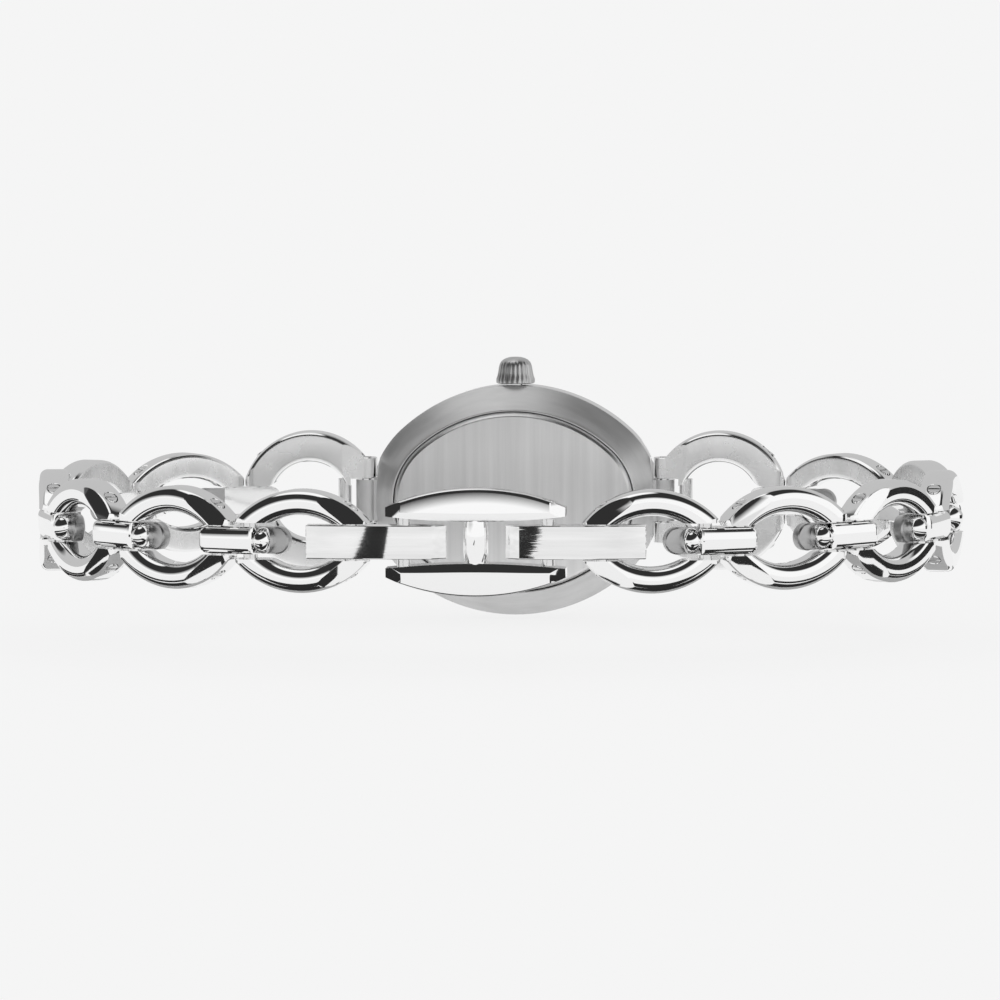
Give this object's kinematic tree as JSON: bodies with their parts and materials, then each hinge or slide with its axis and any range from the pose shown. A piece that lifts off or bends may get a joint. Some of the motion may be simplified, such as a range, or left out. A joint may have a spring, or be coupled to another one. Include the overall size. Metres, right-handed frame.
{
  "type": "cocktail watch",
  "caption": "Oval steel dress watch on an open oval-link chain bracelet that closes with a frame clasp between two blades.",
  "frame": {"origin": "centre of the outer face of the case back", "axes": "+X from 6 to 12 o'clock, +Z towards 3 o'clock and the crown, +Y out of the dial; the bracelet loop lies on the -Y side"},
  "size_m": [0.0662, 0.0431, 0.0188],
  "materials": {
    "polished_steel": "mirror-polished stainless steel",
    "brushed_steel": "stainless steel brushed along its length",
    "pin_steel": "turned stainless steel",
    "crystal_glass": "clear polished mineral glass",
    "gasket_plastic": "translucent white nylon",
    "gasket_rubber": "matt black rubber",
    "dial_face": "satin silver-white dial",
    "marker_metal": "polished applied batons",
    "hand_metal": "polished steel hands",
    "movement_brass": "satin gilt brass",
    "bridge_metal": "satin nickel plate",
    "circuit_green": "green circuit board",
    "coil_copper": "enamelled copper wire",
    "battery_steel": "satin nickel-plated steel",
    "holder_plastic": "white moulded plastic"
  },
  "bodies": {
    "head": {"case_body": "polished_steel", "bezel": "polished_steel", "crystal": "crystal_glass", "crystal_gasket": "gasket_plastic", "dial": "dial_face", "hour_markers": "marker_metal", "movement_holder": "holder_plastic", "main_plate": "movement_brass", "train_bridge": "bridge_metal", "circuit_board": "circuit_green", "coil": "coil_copper", "battery": "battery_steel", "case_back": "brushed_steel", "back_gasket": "gasket_rubber", "crown_tube": "pin_steel", "lug_bars": "polished_steel"},
    "setting_lever": {"setting_lever": "pin_steel"},
    "crown": {"crown": "polished_steel", "stem": "pin_steel"},
    "minute_hand": {"minute_hand": "hand_metal"},
    "hour_hand": {"hour_hand": "hand_metal"},
    "minute_wheel": {"minute_wheel": "movement_brass"},
    "left_link_1": {"left_link_1": "polished_steel"},
    "left_connector_1": {"left_connector_1": "polished_steel"},
    "left_link_2": {"left_link_2": "polished_steel"},
    "left_connector_2": {"left_connector_2": "polished_steel"},
    "left_link_3": {"left_link_3": "polished_steel"},
    "left_connector_3": {"left_connector_3": "polished_steel"},
    "left_link_4": {"left_link_4": "polished_steel"},
    "left_connector_4": {"left_connector_4": "polished_steel"},
    "left_link_5": {"left_link_5": "polished_steel"},
    "left_connector_5": {"left_connector_5": "polished_steel"},
    "left_link_6": {"left_link_6": "polished_steel"},
    "left_connector_6": {"left_connector_6": "polished_steel"},
    "left_link_7": {"left_link_7": "polished_steel"},
    "left_blade": {"left_blade": "brushed_steel"},
    "right_link_1": {"right_link_1": "polished_steel"},
    "right_connector_1": {"right_connector_1": "polished_steel"},
    "right_link_2": {"right_link_2": "polished_steel"},
    "right_connector_2": {"right_connector_2": "polished_steel"},
    "right_link_3": {"right_link_3": "polished_steel"},
    "right_connector_3": {"right_connector_3": "polished_steel"},
    "right_link_4": {"right_link_4": "polished_steel"},
    "right_connector_4": {"right_connector_4": "polished_steel"},
    "right_link_5": {"right_link_5": "polished_steel"},
    "right_connector_5": {"right_connector_5": "polished_steel"},
    "right_link_6": {"right_link_6": "polished_steel"},
    "right_connector_6": {"right_connector_6": "polished_steel"},
    "right_link_7": {"right_link_7": "polished_steel"},
    "right_blade": {"right_blade": "brushed_steel", "catch_studs": "pin_steel", "catch_spring": "pin_steel"},
    "clasp_frame": {"clasp_frame": "polished_steel", "clasp_pins": "pin_steel"}
  },
  "joints": [
    {"name": "clasp_frame_hinge", "type": "hinge", "parent": "left_blade", "child": "clasp_frame", "pos_m": [-0.005, -0.03602, 0], "axis": [0, 0, -1], "range_deg": [0, 90]},
    {"name": "left_blade_hinge", "type": "hinge", "parent": "left_link_7", "child": "left_blade", "pos_m": [-0.0087, -0.03592, 0], "axis": [0, 0, -1], "range_deg": [0, 40]},
    {"name": "right_blade_hinge", "type": "hinge", "parent": "right_link_7", "child": "right_blade", "pos_m": [0.0087, -0.03592, 0], "axis": [0, 0, 1], "range_deg": [0, 40]},
    {"name": "left_link_1_hinge", "type": "hinge", "parent": "head", "child": "left_link_1", "pos_m": [-0.0109, 0.0022, 0], "axis": [0, 0, -1], "range_deg": [0, 12]},
    {"name": "right_link_1_hinge", "type": "hinge", "parent": "head", "child": "right_link_1", "pos_m": [0.0109, 0.0022, 0], "axis": [0, 0, 1], "range_deg": [0, 12]},
    {"name": "crown_pull", "type": "slide", "parent": "head", "child": "setting_lever", "axis": [0, 0, 1], "range_m": [0, 0.0008]},
    {"name": "crown_turn", "type": "hinge", "parent": "setting_lever", "child": "crown", "pos_m": [0, 0.0029, 0], "axis": [0, 0, 1], "continuous": true},
    {"name": "minute_hand_turn", "type": "hinge", "parent": "head", "child": "minute_hand", "pos_m": [0, 0, 0], "axis": [0, -1, 0], "continuous": true},
    {"name": "hour_hand_turn", "type": "hinge", "parent": "head", "child": "hour_hand", "pos_m": [0, 0, 0], "axis": [0, -1, 0], "continuous": true},
    {"name": "minute_wheel_turn", "type": "hinge", "parent": "head", "child": "minute_wheel", "pos_m": [0.0024, 0, 0], "axis": [0, -1, 0], "continuous": true},
    {"name": "left_connector_1_hinge", "type": "hinge", "parent": "left_link_1", "child": "left_connector_1", "pos_m": [-0.0185, 0.0022, 0], "axis": [0, 0, -1], "range_deg": [0, 15.68]},
    {"name": "left_link_2_hinge", "type": "hinge", "parent": "left_connector_1", "child": "left_link_2", "pos_m": [-0.02092, 0.00157, 0], "axis": [0, 0, -1], "range_deg": [0, 18.43]},
    {"name": "left_connector_2_hinge", "type": "hinge", "parent": "left_link_2", "child": "left_connector_2", "pos_m": [-0.02702, -0.00226, 0], "axis": [0, 0, -1], "range_deg": [0, 17.92]},
    {"name": "left_link_3_hinge", "type": "hinge", "parent": "left_connector_2", "child": "left_link_3", "pos_m": [-0.02866, -0.00415, 0], "axis": [0, 0, -1], "range_deg": [0, 17.39]},
    {"name": "left_connector_3_hinge", "type": "hinge", "parent": "left_link_3", "child": "left_connector_3", "pos_m": [-0.03165, -0.01069, 0], "axis": [0, 0, -1], "range_deg": [0, 16.82]},
    {"name": "left_link_4_hinge", "type": "hinge", "parent": "left_connector_3", "child": "left_link_4", "pos_m": [-0.03203, -0.01316, 0], "axis": [0, 0, -1], "range_deg": [0, 16.2]},
    {"name": "left_connector_4_hinge", "type": "hinge", "parent": "left_link_4", "child": "left_connector_4", "pos_m": [-0.03123, -0.02032, 0], "axis": [0, 0, -1], "range_deg": [0, 15.54]},
    {"name": "left_link_5_hinge", "type": "hinge", "parent": "left_connector_4", "child": "left_link_5", "pos_m": [-0.03033, -0.02265, 0], "axis": [0, 0, -1], "range_deg": [0, 14.8]},
    {"name": "left_connector_5_hinge", "type": "hinge", "parent": "left_link_5", "child": "left_connector_5", "pos_m": [-0.02623, -0.02857, 0], "axis": [0, 0, -1], "range_deg": [0, 13.98]},
    {"name": "left_link_6_hinge", "type": "hinge", "parent": "left_connector_5", "child": "left_link_6", "pos_m": [-0.02438, -0.03025, 0], "axis": [0, 0, -1], "range_deg": [0, 13.04]},
    {"name": "left_connector_6_hinge", "type": "hinge", "parent": "left_link_6", "child": "left_connector_6", "pos_m": [-0.01815, -0.03387, 0], "axis": [0, 0, -1], "range_deg": [0, 11.93]},
    {"name": "left_link_7_hinge", "type": "hinge", "parent": "left_connector_6", "child": "left_link_7", "pos_m": [-0.01579, -0.0347, 0], "axis": [0, 0, -1], "range_deg": [0, 10.52]},
    {"name": "right_connector_1_hinge", "type": "hinge", "parent": "right_link_1", "child": "right_connector_1", "pos_m": [0.0185, 0.0022, 0], "axis": [0, 0, 1], "range_deg": [0, 15.68]},
    {"name": "right_link_2_hinge", "type": "hinge", "parent": "right_connector_1", "child": "right_link_2", "pos_m": [0.02092, 0.00157, 0], "axis": [0, 0, 1], "range_deg": [0, 18.43]},
    {"name": "right_connector_2_hinge", "type": "hinge", "parent": "right_link_2", "child": "right_connector_2", "pos_m": [0.02702, -0.00226, 0], "axis": [0, 0, 1], "range_deg": [0, 17.92]},
    {"name": "right_link_3_hinge", "type": "hinge", "parent": "right_connector_2", "child": "right_link_3", "pos_m": [0.02866, -0.00415, 0], "axis": [0, 0, 1], "range_deg": [0, 17.39]},
    {"name": "right_connector_3_hinge", "type": "hinge", "parent": "right_link_3", "child": "right_connector_3", "pos_m": [0.03165, -0.01069, 0], "axis": [0, 0, 1], "range_deg": [0, 16.82]},
    {"name": "right_link_4_hinge", "type": "hinge", "parent": "right_connector_3", "child": "right_link_4", "pos_m": [0.03203, -0.01316, 0], "axis": [0, 0, 1], "range_deg": [0, 16.2]},
    {"name": "right_connector_4_hinge", "type": "hinge", "parent": "right_link_4", "child": "right_connector_4", "pos_m": [0.03123, -0.02032, 0], "axis": [0, 0, 1], "range_deg": [0, 15.54]},
    {"name": "right_link_5_hinge", "type": "hinge", "parent": "right_connector_4", "child": "right_link_5", "pos_m": [0.03033, -0.02265, 0], "axis": [0, 0, 1], "range_deg": [0, 14.8]},
    {"name": "right_connector_5_hinge", "type": "hinge", "parent": "right_link_5", "child": "right_connector_5", "pos_m": [0.02623, -0.02857, 0], "axis": [0, 0, 1], "range_deg": [0, 13.98]},
    {"name": "right_link_6_hinge", "type": "hinge", "parent": "right_connector_5", "child": "right_link_6", "pos_m": [0.02438, -0.03025, 0], "axis": [0, 0, 1], "range_deg": [0, 13.04]},
    {"name": "right_connector_6_hinge", "type": "hinge", "parent": "right_link_6", "child": "right_connector_6", "pos_m": [0.01815, -0.03387, 0], "axis": [0, 0, 1], "range_deg": [0, 11.93]},
    {"name": "right_link_7_hinge", "type": "hinge", "parent": "right_connector_6", "child": "right_link_7", "pos_m": [0.01579, -0.0347, 0], "axis": [0, 0, 1], "range_deg": [0, 10.52]}
  ],
  "couplings": [
    {"joint": "hour_hand_turn", "follows": "minute_hand_turn", "ratio": 0.083333},
    {"joint": "minute_wheel_turn", "follows": "minute_hand_turn", "ratio": -0.33333}
  ]
}
